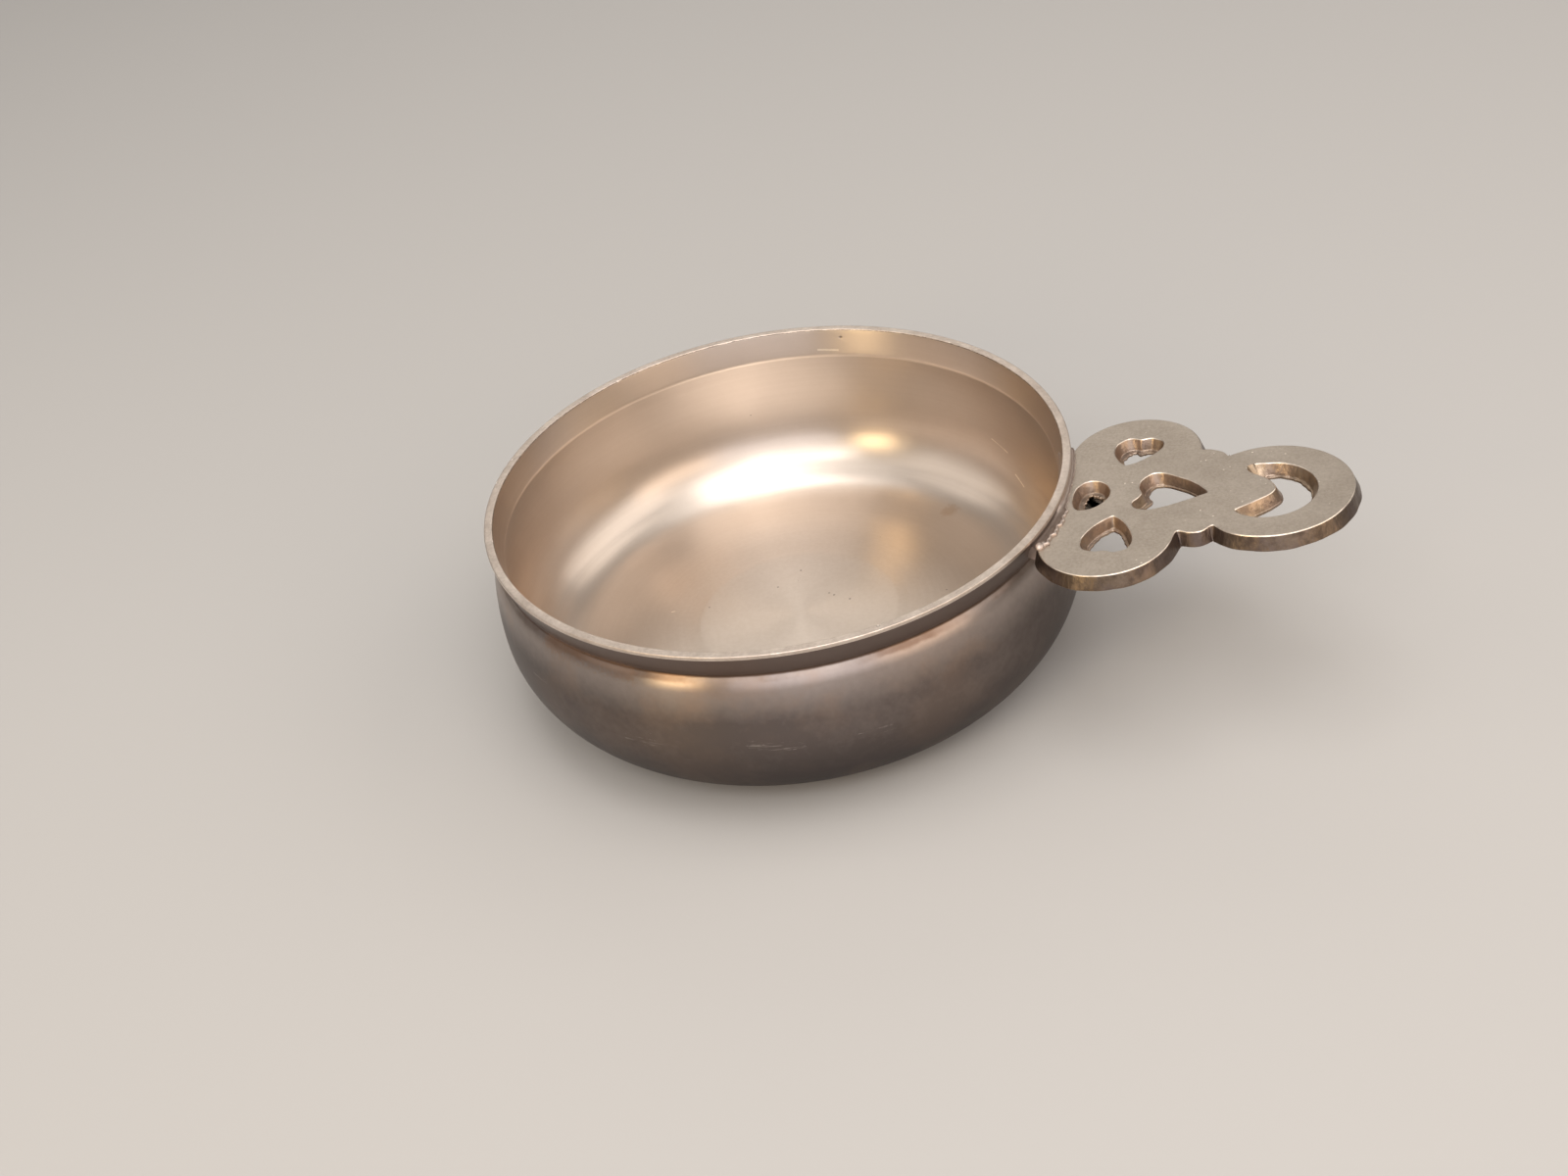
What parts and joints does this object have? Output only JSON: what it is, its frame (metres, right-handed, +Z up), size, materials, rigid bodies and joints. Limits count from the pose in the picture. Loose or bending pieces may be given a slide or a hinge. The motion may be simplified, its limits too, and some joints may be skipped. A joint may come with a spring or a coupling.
{
  "type": "pewter porringer",
  "caption": "Shallow bellied pewter bowl with a flat lip, a drawn-in collar and a pierced flat handle soldered to its side.",
  "frame": {"origin": "on the bowl's axis, on the surface that the bowl stands on", "axes": "+X along the handle, away from the bowl; +Z up along the bowl's axis; +Y across"},
  "size_m": [0.176, 0.1226, 0.0442],
  "materials": {
    "turned_pewter": "satin outside, polished inside, with age marks",
    "cast_pewter": "matte casting skin with worn edges",
    "solder": "rough solder, slightly pink"
  },
  "bodies": {
    "root": {"bowl": "turned_pewter", "handle": "cast_pewter", "solder_seam": "solder"}
  },
  "joints": []
}
